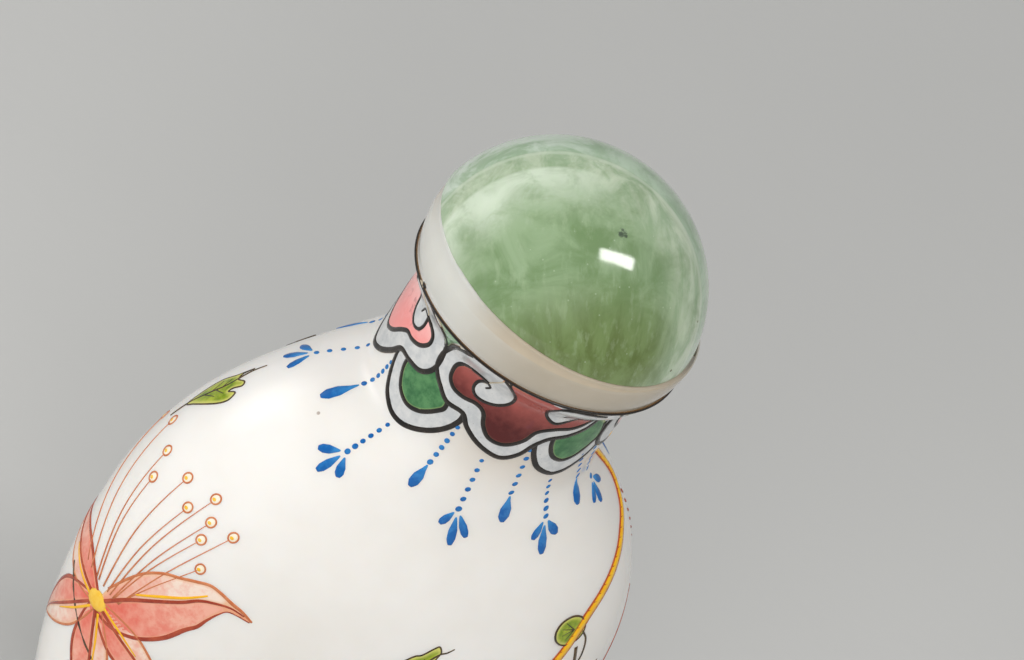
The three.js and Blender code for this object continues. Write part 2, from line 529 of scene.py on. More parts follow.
def stroke(enamel, path, widths, lift=0.0, thickness=0.05, closed=False, steps=6):
    """A brush stroke through (azimuth, drop) places. Widths are spread evenly along it."""
    curve = curve_through(path, closed=closed, steps=steps)
    surface = skin(curve[:, 0], curve[:, 1])
    normal = skin_normal(curve[:, 0], curve[:, 1])
    if closed:
        heading = unit(np.roll(surface, -1, axis=0) - np.roll(surface, 1, axis=0))
    else:
        heading = unit(np.gradient(surface, axis=0))
    side = unit(np.cross(normal, heading))
    share = np.linspace(0, 1, len(curve))
    widths = np.atleast_1d(widths)
    half = 0.5 * np.interp(share, np.linspace(0, 1, len(widths)), widths)
    points, edge, along = [], [], []
    for index in range(len(curve)):
        for across, rise in SECTION:
            level = lift + thickness * rise * min(1.0, half[index] / FULL_HALF_WIDTH) if rise else SUNK
            points.append(surface[index] + side[index] * across * half[index] + normal[index] * level)
            edge.append(1 - abs(across))
            along.append(share[index])
    size = len(SECTION)
    faces = []
    count = len(curve)
    for index in range(count if closed else count - 1):
        after = (index + 1) % count
        for step in range(size):
            turn = (step + 1) % size
            faces.append([index * size + step, index * size + turn, after * size + turn, after * size + step])
    if not closed:
        faces.append(list(range(size)))
        faces.append(list(range((count - 1) * size, count * size))[::-1])
    enamel.add(points, faces, edge, along)


# Rings of a dot, from its middle out: reach and height as shares. The last one is under the glass.
DOT_RINGS = ((0.45, 0.9), (0.8, 0.55), (1.0, None))
DOT_AROUND = 14


def dot(enamel, place, long_radius, short_radius=None, turn=0.0, lift=0.0, thickness=0.06):
    """A small raised drop of enamel, round or oval; turn is its tilt in degrees."""
    short_radius = short_radius or long_radius
    azimuth, drop = place
    centre = skin(azimuth, drop)
    normal = skin_normal(azimuth, drop)
    across = unit(skin(azimuth + 0.5, drop) - skin(azimuth - 0.5, drop))
    upward = np.cross(normal, across)
    angle = math.radians(turn)
    long_axis = math.cos(angle) * across + math.sin(angle) * upward
    short_axis = math.cos(angle) * upward - math.sin(angle) * across
    points = [centre + normal * (lift + thickness)]
    edge = [1.0]
    for reach, rise in DOT_RINGS:
        level = SUNK if rise is None else lift + thickness * rise
        for step in range(DOT_AROUND):
            sweep = 2 * math.pi * step / DOT_AROUND
            lengthways = long_radius * math.cos(sweep) * long_axis
            sideways = short_radius * math.sin(sweep) * short_axis
            points.append(centre + reach * (lengthways + sideways) + normal * level)
            edge.append(1 - reach)
    points.append(centre + normal * SUNK)
    edge.append(0.0)
    faces = []
    last = len(points) - 1
    for step in range(DOT_AROUND):
        after = (step + 1) % DOT_AROUND
        faces.append([0, 1 + step, 1 + after])
        for ring in range(len(DOT_RINGS) - 1):
            inner, outer = 1 + ring * DOT_AROUND, 1 + (ring + 1) * DOT_AROUND
            faces.append([inner + step, outer + step, outer + after, inner + after])
        rim = 1 + (len(DOT_RINGS) - 1) * DOT_AROUND
        faces.append([rim + after, rim + step, last])
    enamel.add(points, faces, edge, [0.5] * len(points))


class Patch:
    """A small flat chart on the glass: x runs towards +azimuth and y up, in millimetres."""

    def __init__(self, azimuth, drop, turn=0.0, size=1.0):
        self.azimuth = azimuth
        self.drop = drop
        self.per_degree, self.per_drop = chart_scale(azimuth, drop)
        self.cosine = size * math.cos(math.radians(turn))
        self.sine = size * math.sin(math.radians(turn))

    def place(self, point):
        across = point[0] * self.cosine - point[1] * self.sine
        upward = point[0] * self.sine + point[1] * self.cosine
        return (self.azimuth + across / self.per_degree, self.drop - upward / self.per_drop)

    def ahead(self):
        """The chart's own x direction, as x to the right and y up on the glass."""
        return (self.cosine, self.sine)

    def places(self, points):
        return [self.place(point) for point in points]


# ---- Material helpers ----------------------------------------------------------------------


class Surface:
    """A node material that is built step by step around one Principled shader."""

    def __init__(self, name):
        self.material = bpy.data.materials.new(name)
        self.material.use_nodes = True
        self.tree = self.material.node_tree
        self.shader = self.tree.nodes["Principled BSDF"]
        self.position = self.node("ShaderNodeTexCoord").outputs["Object"]

    def node(self, kind, **settings):
        made = self.tree.nodes.new(kind)
        for key, value in settings.items():
            setattr(made, key, value)
        return made

    def join(self, source, target):
        if isinstance(source, bpy.types.NodeSocket):
            self.tree.links.new(source, target)
        else:
            target.default_value = source

    def set(self, **values):
        """Plain values on the shader's own sockets, with _ for a space in a socket's name."""
        for key, value in values.items():
            self.shader.inputs[key.replace("_", " ")].default_value = value

    def maths(self, operation, first, second=0.0):
        made = self.node("ShaderNodeMath", operation=operation)
        self.join(first, made.inputs[0])
        self.join(second, made.inputs[1])
        return made.outputs[0]

    def stretch(self, across, along, direction):
        """Positions scaled by one factor along a direction and by another across it."""
        ahead = Vector(direction).normalized()
        side = ahead.orthogonal().normalized()
        other = ahead.cross(side)
        joined = self.node("ShaderNodeCombineXYZ")
        for slot, (axis, factor) in enumerate(((side, across), (other, across), (ahead, along))):
            reach = self.node("ShaderNodeVectorMath", operation="DOT_PRODUCT")
            self.join(self.position, reach.inputs[0])
            reach.inputs[1].default_value = axis * factor
            self.join(reach.outputs["Value"], joined.inputs[slot])
        return joined.outputs[0]

    def reach(self, centre, direction, low, high):
        """0 to 1 as the position passes from low to high (millimetres) along a direction.

        It runs from 1 to 0 where low is given above high."""
        made = self.node("ShaderNodeVectorMath", operation="DOT_PRODUCT")
        moved = self.node("ShaderNodeVectorMath", operation="SUBTRACT")
        self.join(self.position, moved.inputs[0])
        moved.inputs[1].default_value = Vector(centre) * MM
        self.join(moved.outputs[0], made.inputs[0])
        made.inputs[1].default_value = Vector(direction).normalized()
        return self.range(made.outputs["Value"], low * MM, high * MM)

    def range(self, value, low, high, start=0.0, end=1.0):
        """Runs smoothly from start to end as the value passes from low to high, which may be the lower."""
        made = self.node("ShaderNodeMapRange", interpolation_type="SMOOTHSTEP")
        self.join(value, made.inputs["Value"])
        for slot, number in (("From Min", low), ("From Max", high), ("To Min", start), ("To Max", end)):
            made.inputs[slot].default_value = number
        return made.outputs["Result"]

    def noise(self, size, detail=3.0, roughness=0.5, vector=None, distortion=0.0):
        """Cloudy noise whose blotches are about size millimetres across."""
        made = self.node("ShaderNodeTexNoise")
        made.inputs["Scale"].default_value = 1.0 / (size * MM)
        made.inputs["Detail"].default_value = detail
        made.inputs["Roughness"].default_value = roughness
        made.inputs["Distortion"].default_value = distortion
        self.join(vector or self.position, made.inputs["Vector"])
        return made.outputs["Fac"]

    def cells(self, size):
        """Distance to the nearest of many scattered points, as a share of size millimetres."""
        made = self.node("ShaderNodeTexVoronoi")
        made.inputs["Scale"].default_value = 1.0 / (size * MM)
        self.join(self.position, made.inputs["Vector"])
        return made.outputs["Distance"]

    def value(self, name):
        """A number that the mesh carries at each point."""
        return self.node("ShaderNodeAttribute", attribute_name=name).outputs["Fac"]

    def mix(self, share, first, second):
        """The first colour where share is 0, and the second where it is 1."""
        made = self.node("ShaderNodeMix", data_type="RGBA")
        self.join(share, made.inputs["Factor"])
        self.join(first, made.inputs[6])
        self.join(second, made.inputs[7])
        return made.outputs[2]

    def colour(self, source):
        self.join(source, self.shader.inputs["Base Color"])

    def roughness(self, value, low, high):
        self.join(self.range(value, 0.3, 0.7, low, high), self.shader.inputs["Roughness"])

    def bump(self, *layers):
        """Bump from (height, depth in millimetres) layers, one upon the other."""
        normal = None
        for height, depth in layers:
            made = self.node("ShaderNodeBump")
            made.inputs["Strength"].default_value = 1.0
            made.inputs["Distance"].default_value = depth * MM
            self.join(height, made.inputs["Height"])
            if normal:
                self.join(normal, made.inputs["Normal"])
            normal = made.outputs["Normal"]
        self.join(normal, self.shader.inputs["Normal"])


def tone(red, green, blue):
    """A shader colour from display values between 0 and 255."""

    def linear(value):
        share = value / 255
        return share / 12.92 if share <= 0.04045 else ((share + 0.055) / 1.055) ** 2.4

    return (linear(red), linear(green), linear(blue), 1.0)


# ---- Materials -----------------------------------------------------------------------------


UPWARD = (0, 0, 1)
ORIGIN = (0, 0, 0)


def glass_tint(glass):
    """Warm white, faintly clouded, greyer in the lip, with painted shade: a warm grey painted shade in front
    just under the collar, and a brownish painted shade on the lip's front and on the sloping band above it.
    """
    clouds = glass.range(glass.noise(9.0, detail=4), 0.35, 0.7)
    body = glass.mix(clouds, tone(240, 236, 230), tone(246, 243, 239))
    to_front = glass.reach(ORIGIN, (0.35, -0.94, 0), 1.5, 8.0)
    # Painted shade: the glass in front just under the collar is darkened to a warm grey.
    shade_under_collar = glass.maths("MULTIPLY", to_front, glass.reach(ORIGIN, UPWARD, 41.0, 46.5))
    body = glass.mix(glass.maths("MULTIPLY", shade_under_collar, 0.8), body, tone(206, 194, 178))
    lip = glass.mix(glass.noise(3.0, detail=5), tone(205, 205, 198), tone(222, 221, 215))
    # Painted shade: the lip's front is a darker brownish grey.
    shaded_lip_front = glass.mix(glass.noise(2.2, detail=4), tone(176, 166, 148), tone(194, 184, 168))
    lip = glass.mix(to_front, lip, shaded_lip_front)
    in_lip = glass.reach(ORIGIN, UPWARD, LIP_UNDERSIDE - 0.4, LIP_UNDERSIDE + 0.3)
    coloured = glass.mix(in_lip, body, lip)
    # Painted shade: the sloping band over the ridge is brownish beige in front, turning to the lip's grey on
    # the left.
    bevel_shade = glass.mix(glass.noise(1.6, detail=4), tone(184, 170, 148), tone(202, 188, 166))
    bevel = glass.mix(glass.reach(ORIGIN, (-1, -0.3, 0), 6.0, 9.0), bevel_shade, lip)
    on_bevel = glass.reach(ORIGIN, UPWARD, RIDGE_HEIGHT + 0.02, RIDGE_HEIGHT + 0.1)
    return glass.mix(on_bevel, coloured, bevel)


def white_glass():
    """Opaque milky glass with a few brown specks, faint ripples and fine scratches."""
    glass = Surface("milky_white_glass")
    speck = glass.range(glass.cells(4.2), 0.035, 0.02)
    chosen = glass.range(glass.noise(7.0, detail=1), 0.58, 0.62)
    glass.colour(glass.mix(glass.maths("MULTIPLY", speck, chosen), glass_tint(glass), tone(120, 84, 52)))
    glass.set(Subsurface_Weight=0.35, Subsurface_Scale=0.0015, IOR=1.5, Coat_Weight=0.25, Coat_Roughness=0.04)
    glass.shader.inputs["Subsurface Radius"].default_value = (1.0, 0.85, 0.7)
    glass.roughness(glass.noise(2.5, detail=6), 0.1, 0.2)
    scratches = glass.noise(1.0, detail=2, vector=glass.stretch(2.6, 0.12, (0.6, 0.1, 0.8)))
    glass.bump((glass.noise(11.0, detail=2), 0.12), (glass.range(scratches, 0.64, 0.72), 0.0012))
    return glass.material


FIBRE_WAY = (-0.30, 0.68, 0.67)  # the fibres in the jade run this way

# A pale line, the edge of a painted reflection of the softbox, rings the jade. It is a flat cut across the
# cap, at right angles to this.
REFLECTION_AXIS = (0.31, 0.83, -0.46)
REFLECTION_EDGE = -3.1


def jade_tint(stone, fibres, clouds):
    """Mottled green, olive low in front, with a painted reflection of the softbox: paler upwards to its edge,
    paler still past it, and milky white on the left.
    """
    cap = tuple(stopper_place() - np.array([0, 0, STOPPER_UNDERCUT]))
    olive = stone.mix(stone.range(fibres, 0.36, 0.64), tone(98, 116, 60), tone(118, 140, 84))
    green = stone.mix(stone.range(clouds, 0.34, 0.66), tone(116, 144, 98), tone(150, 174, 136))
    coloured = stone.mix(stone.reach(cap, (0.15, -0.98, -0.08), 4.6, 8.4), green, olive)
    # Painted reflection: the jade turns paler upwards towards the edge of the softbox's reflection.
    reflected_green = stone.mix(stone.range(fibres, 0.36, 0.66), tone(160, 184, 150), tone(202, 216, 190))
    towards_reflection = stone.range(stone.reach(cap, REFLECTION_AXIS, -8.9, REFLECTION_EDGE), 0.2, 0.95)
    patchy = stone.maths("MULTIPLY", towards_reflection, stone.range(clouds, 0.3, 0.6, 0.5, 1.0))
    coloured = stone.mix(patchy, coloured, reflected_green)
    fine = stone.noise(0.45, detail=4, roughness=0.6, vector=stone.stretch(1.0, 0.3, FIBRE_WAY))
    coloured = stone.mix(stone.range(fine, 0.52, 0.7, 0, 0.18), coloured, tone(182, 200, 168))
    # Painted reflection: past the edge the jade is pale green, milky white on the left, standing in for the
    # softbox's reflection.
    reflected_pale = stone.mix(stone.range(clouds, 0.35, 0.65), tone(158, 184, 152), tone(190, 212, 186))
    to_left = stone.reach(cap, (-0.9, 0.1, 0.4), 2.5, 8.5)
    reflected_white = stone.maths("MULTIPLY", to_left, stone.range(clouds, 0.42, 0.6))
    reflected_pale = stone.mix(stone.maths("MULTIPLY", reflected_white, 0.7), reflected_pale, tone(216, 228, 216))
    in_reflection = stone.reach(cap, REFLECTION_AXIS, REFLECTION_EDGE - 0.05, REFLECTION_EDGE + 0.25)
    coloured = stone.mix(in_reflection, coloured, reflected_pale)
    return stone.mix(reflection_edge_and_patch(stone, cap), coloured, tone(210, 224, 202))


def jade():
    """Mottled green jade, with upright fibres, scattered grains and a high polish."""
    stone = Surface("mottled_green_jade")
    upright = stone.stretch(1.0, 0.2, FIBRE_WAY)
    fibres = stone.noise(1.3, detail=5, roughness=0.62, vector=upright, distortion=0.5)
    clouds = stone.noise(3.6, detail=6, roughness=0.62, distortion=0.8)
    coloured = jade_tint(stone, fibres, clouds)
    speck = stone.range(stone.cells(1.9), 0.06, 0.03)
    chosen = stone.range(stone.noise(3.1, detail=1), 0.54, 0.58)
    coloured = stone.mix(stone.maths("MULTIPLY", speck, chosen), coloured, tone(90, 76, 44))
    light_grain = stone.range(stone.cells(0.9), 0.08, 0.03, 0, 0.3)
    coloured = stone.mix(light_grain, coloured, tone(206, 218, 196))
    stone.colour(inclusion(stone, coloured))
    stone.set(Subsurface_Weight=0.25, Subsurface_Scale=0.001, IOR=1.62, Coat_Weight=0.25, Coat_Roughness=0.03)
    stone.shader.inputs["Subsurface Radius"].default_value = (0.7, 1.0, 0.6)
    stone.roughness(clouds, 0.07, 0.14)
    stone.bump((stone.noise(4.0, detail=2), 0.05), (stone.noise(0.35, detail=3), 0.0012))
    return stone.material


def reflection_edge_and_patch(stone, cap):
    """Painted reflection: the pale line at its edge round the cap, and a milky white patch inside the line on
    the left.
    """
    rising = stone.reach(cap, REFLECTION_AXIS, REFLECTION_EDGE - 0.35, REFLECTION_EDGE - 0.1)
    falling = stone.reach(cap, REFLECTION_AXIS, REFLECTION_EDGE + 0.15, REFLECTION_EDGE)
    line = stone.maths("MULTIPLY", stone.maths("MULTIPLY", rising, falling), 0.5)
    fading = stone.reach(cap, REFLECTION_AXIS, -7.8, -4.9)
    cut_off = stone.reach(cap, REFLECTION_AXIS, -4.45, -4.75)
    to_left = stone.reach(cap, (-1, 0, 0.25), 2.2, 6.4)
    torn = stone.range(stone.noise(2.4, detail=4, roughness=0.6, distortion=1.0), 0.34, 0.6, 0.45, 1.0)
    band = stone.maths("MULTIPLY", fading, cut_off)
    patch = stone.maths("MULTIPLY", band, stone.maths("MULTIPLY", to_left, torn))
    return stone.maths("MAXIMUM", line, patch)


INCLUSION = (-0.27, -3.4, 61.3)
INCLUSION_WOBBLE = 0.6  # how ragged its edge is, in millimetres


def inclusion(stone, coloured):
    """A small dark grain near the top of the stone."""
    wobble = stone.node("ShaderNodeTexNoise")
    wobble.inputs["Scale"].default_value = 4 / MM
    shift = stone.node("ShaderNodeVectorMath", operation="SCALE")
    ragged = stone.node("ShaderNodeVectorMath", operation="ADD")
    away = stone.node("ShaderNodeVectorMath", operation="DISTANCE")
    stone.join(stone.position, wobble.inputs["Vector"])
    stone.join(wobble.outputs["Color"], shift.inputs[0])
    shift.inputs["Scale"].default_value = INCLUSION_WOBBLE * MM
    stone.join(stone.position, ragged.inputs[0])
    stone.join(shift.outputs[0], ragged.inputs[1])
    stone.join(ragged.outputs[0], away.inputs[0])
    away.inputs[1].default_value = Vector(INCLUSION) * MM
    share = stone.range(away.outputs["Value"], 0.22 * MM, 0.42 * MM, 0.85, 0)
    return stone.mix(share, coloured, tone(58, 70, 60))


def enamel(name, far, near, fringe, fringe_width=0.12, speckle=0.25, roughness=(0.1, 0.22), lengthwise=0.0):
    """Glassy enamel in two colours, blotched and speckled, with a third colour round its edge.

    The colours are display values. Where lengthwise is over 0, the enamel runs from the near colour at
    a shape's start to the far one at its end."""
    glaze = Surface(name)
    mottle = glaze.noise(0.8, detail=5, roughness=0.65)
    share = glaze.range(mottle, 0.3, 0.7)
    if lengthwise:
        faded = glaze.maths("MULTIPLY", glaze.value("along"), lengthwise)
        share = glaze.maths("MULTIPLY", glaze.maths("ADD", share, 0.8), glaze.maths("ADD", faded, 0.1))
    coloured = glaze.mix(share, tone(*near), tone(*far))
    grains = glaze.range(glaze.cells(0.32), 0.16, 0.06, 0, speckle)
    coloured = glaze.mix(grains, coloured, tone(70, 60, 52))
    rim = glaze.range(glaze.value("edge"), 0.0, fringe_width, 1, 0)
    glaze.colour(glaze.mix(rim, coloured, tone(*fringe)))
    return polished(glaze, mottle, roughness)


def polished(glaze, mottle, roughness=(0.1, 0.22)):
    """The shine and the faint ripples that all the enamels share."""
    glaze.set(IOR=1.5, Coat_Weight=0.1, Coat_Roughness=0.05)
    glaze.roughness(mottle, *roughness)
    glaze.bump((glaze.noise(0.45, detail=3), 0.01))
    return glaze.material


def shaded_red(name, upper, lower):
    """Red enamel that runs from pink under the lip to deep red at the tips."""
    glaze = Surface(name)
    mottle = glaze.noise(0.7, detail=5, roughness=0.6)
    fall = glaze.reach(ORIGIN, UPWARD, PAINT_TOP - 7.4, PAINT_TOP - 4.0)
    share = glaze.maths("ADD", fall, glaze.range(mottle, 0.2, 0.8, -0.14, 0.14))
    coloured = glaze.mix(share, tone(*lower), tone(*upper))
    stains = glaze.range(glaze.noise(0.9, detail=4), 0.62, 0.72, 0, 0.35)
    coloured = glaze.mix(stains, coloured, tone(110, 44, 60))
    rim = glaze.range(glaze.value("edge"), 0.0, 0.2, 0.8, 0)
    glaze.colour(glaze.mix(rim, coloured, tone(226, 170, 130)))
    return polished(glaze, mottle)


# ---- The collar: four cloud heads with lappets between them --------------------------------

# Widths of the black lines: round a head, round its centre, round a curl and under the lip.
BLACK_WIDE = 0.45
BLACK_MIDDLE = 0.39
BLACK_CURL = 0.3
BLACK_HOOK_TIP = 0.16
BLACK_THIN = 0.17

# Each layer lies a little higher on the glass than the one it covers.
LAPPET_LIFT = 0.0
LAPPET_CENTRE_LIFT = 0.02
HEAD_LIFT = 0.06
CENTRE_LIFT = 0.08
CURL_LIFT = 0.12
RING_LIFT = 0.14


def both_sides(half):
    """A symmetric outline from its left half, which ends in the middle."""
    return half + [(-offset, drop) for offset, drop in half[-2::-1]]


# Offsets in degrees from a head's own middle, and drops. Each outline runs from the upper left, round
# the bottom, to the upper right.
SIDE_HEAD = both_sides([
    (-32, 2.8), (-40, 4.1), (-45, 5.6), (-45, 6.9), (-40, 7.8), (-31, 8.1), (-23, 8.3), (-17, 9.3),
    (-9, 10.3), (0, 10.8),
])
SIDE_CENTRE = both_sides([
    (-17, 3.0), (-17, 3.6), (-20, 4.6), (-26.5, 4.95), (-31, 5.15), (-35, 5.5), (-35.5, 6.1), (-31.5, 6.75),
    (-25.5, 7.1), (-20, 7.2), (-15, 7.75), (-8, 8.7), (0, 9.2),
])
FRONT_HEAD = [
    (-31, 2.9), (-37, 3.6), (-42, 4.4), (-45.5, 5.5), (-45, 6.4), (-42, 6.9), (-38, 7.3), (-31, 7.85),
    (-22, 7.75), (-17, 8.4), (-9, 9.0), (0, 9.3), (5.5, 9.2), (11, 8.55), (15, 7.5), (20, 6.8), (28, 6.35),
    (36, 5.6), (39, 4.6), (37, 2.7),
]
FRONT_CENTRE = [
    (-13, 3.0), (-12.5, 3.7), (-16, 4.6), (-20.5, 4.7), (-24, 4.55), (-29.5, 4.6), (-34.5, 4.95), (-37, 5.5),
    (-36, 6.3), (-32, 6.75), (-26, 6.8), (-19.5, 6.6), (-14.5, 6.85), (-11, 7.7), (-5.5, 8.3), (2, 8.25),
    (8.5, 7.5), (12, 6.5), (19.5, 5.95), (27, 5.7), (33, 5.2), (36, 4.5), (34, 2.7),
]

# A curl is its white shape, its black outline and the black hook inside it.
LEFT_BULB = [
    (-20.5, 4.75), (-22.5, 4.85), (-24.6, 5.3), (-24.4, 5.8), (-21.5, 6.12), (-16.5, 6.1), (-11, 5.8),
    (-6.8, 5.2), (-7, 4.4), (-11.2, 3.45), (-15, 2.9),
]
LEFT_CURL = (LEFT_BULB, LEFT_BULB, [(-29.5, 4.6), (-24, 4.55), (-20.5, 4.68), (-18.4, 4.95), (-20, 5.25)])
RIGHT_CURL = (
    [(36, 2.9), (24, 2.9), (15, 2.95), (9, 3.3), (8.3, 4.2), (11.5, 5.1), (17, 5.45), (22.5, 5.0),
     (24.5, 4.4), (29, 4.2), (36, 4.4)],
    [(30, 3.05), (22, 3.0), (15, 3.0), (9.5, 3.3), (8.3, 4.2), (11.5, 5.1), (17, 5.45), (22.5, 5.0),
     (24.5, 4.4), (22, 4.0), (18.5, 4.1), (17.5, 4.5)],
    [(23.5, 4.2), (29, 4.2), (35, 4.4)],
)
SIDE_BULB = [
    (26.5, 5.0), (27, 5.7), (25, 6.25), (20, 6.4), (15.5, 5.9), (13.5, 5.0), (14, 4.0), (16, 3.0),
]
SIDE_CURL = (SIDE_BULB + [(25, 3.0)], SIDE_BULB, [(31, 5.15), (26.5, 4.95), (22.5, 4.8), (20.5, 5.35)])

# The lappets between the heads run the same way, and close behind the heads. Only their first points
# have a black line.
LAPPET = [
    (-22, 7.0), (-23.5, 8.4), (-21, 9.6), (-15, 10.7), (-8.5, 11.2), (-2, 11.4), (5, 11.25), (13, 10.6),
    (20, 9.6), (24, 8.4), (23, 7.4), (12, 6.0), (0, 5.2), (-12, 6.0),
]
LAPPET_CENTRE = [
    (-14, 7.4), (-15, 8.4), (-13, 9.2), (-8.5, 9.9), (-1, 10.2), (6.5, 9.8), (13, 8.85), (15, 8.2),
    (12, 7.0), (0, 6.2), (-11, 6.6),
]
LAPPET_LINED = 11
LAPPET_CENTRE_LINED = 9


def ring_drop(azimuth):
    """How far down the black line under the lip runs. The line is a little askew, like the rim."""
    return 2.9 + 0.2 * math.cos(math.radians(azimuth + 98))


def turned_to(places, middle, narrow=1.0, rise=0.0):
    """Sets a collar shape at its azimuth. Nothing reaches above the line under the lip."""
    moved = []
    for offset, drop in places:
        azimuth = middle + narrow * offset
        moved.append((azimuth, max(drop - rise, ring_drop(azimuth) + 0.08)))
    return moved


def lappet(paints, middle, narrow=1.0, rise=0.0):
    outline = turned_to(LAPPET, middle, narrow, rise)
    centre = turned_to(LAPPET_CENTRE, middle, narrow, rise)
    black = paints["collar_black"]
    fill(paints["collar_white"], outline, LAPPET_LIFT)
    fill(paints["collar_green"], centre, LAPPET_CENTRE_LIFT)
    stroke(black, outline[:LAPPET_LINED], BLACK_WIDE, LAPPET_LIFT + OVER, LINE)
    stroke(black, centre[:LAPPET_CENTRE_LINED], BLACK_MIDDLE, LAPPET_CENTRE_LIFT + OVER, LINE)


def cloud_head(paints, colour, middle, outline, centre, curls):
    """A cloud-shaped head: white ground, red centre and two white curls that hook in from the lip."""
    outline = turned_to(outline, middle)
    centre = turned_to(centre, middle)
    black = paints["collar_black"]
    fill(paints["collar_white"], outline, HEAD_LIFT)
    fill(paints[colour], centre, CENTRE_LIFT)
    stroke(black, outline, BLACK_WIDE, HEAD_LIFT + OVER, LINE)
    stroke(black, centre, BLACK_MIDDLE, CENTRE_LIFT + OVER, LINE)
    for curl in curls:
        shape, edge, hook = [turned_to(part, middle) for part in curl]
        fill(paints["collar_white"], shape, CURL_LIFT)
        stroke(black, edge, BLACK_CURL, CURL_LIFT + OVER, LINE)
        stroke(black, hook, (BLACK_CURL, BLACK_CURL, BLACK_HOOK_TIP), CURL_LIFT + 2 * OVER, LINE)


def top_leaf(paints, middle):
    """The small pale green triangle that fills the gap between two heads, under the lip."""
    offsets = ((-9, 3.0), (-4, 4.0), (-0.5, 5.2), (3, 4.2), (9, 3.2))
    outline = [(middle + offset, drop) for offset, drop in offsets]
    fill(paints["collar_pale_green"], outline, LAPPET_LIFT, curved=False)


def opposite(curl):
    """The same curl on the other side of the head."""
    return tuple([(-offset, drop) for offset, drop in part][::-1] for part in curl)


FRONT = -8  # azimuth of the one head whose two sides differ
# The side heads' rose is partly painted light: a paler red enamel, made lighter still for the softbox light
# falling on the left head.
HEADS = {-98: "collar_rose", FRONT: "collar_crimson", 88: "collar_rose", 175: "collar_crimson"}
LAPPETS = ((-53, 1.0, 0.0), (28, 0.92, 1.6), (131, 1.0, 0.3), (-142, 1.0, 0.2))
TOP_LEAVES = (-54, 37, 131, -142)


def collar(paints):
    for middle, narrow, rise in LAPPETS:
        lappet(paints, middle, narrow, rise)
    for middle, colour in HEADS.items():
        if middle == FRONT:
            cloud_head(paints, colour, middle, FRONT_HEAD, FRONT_CENTRE, (LEFT_CURL, RIGHT_CURL))
        else:
            cloud_head(paints, colour, middle, SIDE_HEAD, SIDE_CENTRE, (SIDE_CURL, opposite(SIDE_CURL)))
    for middle in TOP_LEAVES:
        top_leaf(paints, middle)
    ring = [(azimuth, ring_drop(azimuth)) for azimuth in range(-180, 180, 6)]
    stroke(paints["collar_black"], ring, BLACK_THIN, RING_LIFT, COAT, closed=True)


# ---- The blue pendants under the collar ----------------------------------------------------

PENDANT_DOTS = 6

# Chains: where each starts and ends, then the tips of its drops, in degrees and drops.
PENDANTS = [
    ((-99, 10.9), (-99, 13.6), ((-106, 14.6), (-101, 15.2), (-94, 14.8))),
    ((-76, 9.7), (-77, 11.9), ((-78, 13.7),)),
    ((-54, 12.0), (-56, 14.4), ((-63, 15.3), (-58, 16.3), (-52, 15.9))),
    ((-28, 8.9), (-29, 12.0), ((-30, 14.0),)),
    ((-10, 10.1), (-6, 14.0), ((-10, 15.4), (-1, 16.5), (4, 15.7))),
    ((7, 8.1), (12, 11.7), ((16, 14.0),)),
    ((29, 10.5), (36, 13.2), ((34, 14.9), (40, 15.8), (44, 14.4))),
    ((37, 7.8), (52, 11.0), ((54, 12.8),)),
    ((50, 8.4), (68, 12.0), ((65, 13.2), (70, 13.4), (75, 12.6))),
    ((98, 9.5), (100, 12.0), ((101, 14.0),)),
    ((121, 11.8), (122, 14.2), ((116, 15.3), (122, 16.2), (128, 15.3))),
    ((143, 9.4), (144, 12.0), ((145, 14.0),)),
    ((166, 11.0), (166, 13.8), ((160, 15.1), (166, 16.0), (172, 15.1))),
    ((-171, 9.4), (-170, 12.0), ((-169, 14.0),)),
    ((-146, 11.8), (-146, 14.2), ((-152, 15.4), (-146, 16.2), (-140, 15.4))),
    ((-122, 9.4), (-121, 12.0), ((-121, 14.0),)),
]


def between(start, end, share):
    """The place that lies a share of the way from one place to another."""
    return tuple(first + (last - first) * share for first, last in zip(start, end))


def pendants(paint):
    for start, knot, tips in PENDANTS:
        for step in range(PENDANT_DOTS):
            share = step / (PENDANT_DOTS - 1)
            size = 0.185 + 0.055 * share + random.uniform(-0.015, 0.015)
            flatness = random.uniform(0.78, 0.95)
            dot(paint, between(start, knot, share), size, size * flatness, turn=60, thickness=0.035)
        gap, width = (0.24, 0.62) if len(tips) > 1 else (0.12, 0.76)
        for tip in tips:
            fat = width + random.uniform(-0.04, 0.06)
            route = [between(knot, tip, gap), tip]
            stroke(paint, route, (0.1, 0.34, fat, fat, 0.3), thickness=0.045, steps=12)


# ---- The gold cord, the leaves and the flowers ---------------------------------------------

CORD_WIDTH = 0.62
TWIST_STEP = 0.62  # millimetres between one slanting twist line and the next

# The cord's way down the right side, in degrees and drops.
CORD_ROUTE = [
    (62, 8.0), (74, 9.8), (84, 11.6), (88, 13.2), (84, 14.6), (79, 15.6), (75, 16.7), (71, 17.8),
    (67, 18.9), (63, 20.1), (60, 21.5), (57, 23.2), (52, 25.6), (46, 28.0), (38, 30.2), (28, 31.6),
    (18, 31.8), (9, 30.8), (3, 29.4),
]
BACK_CORD_ROUTE = [
    (96, 8.4), (104, 11.0), (114, 14.2), (126, 17.6), (138, 21.0), (148, 24.6), (156, 28.2), (168, 31.2),
    (181, 32.4), (194, 31.4),
]


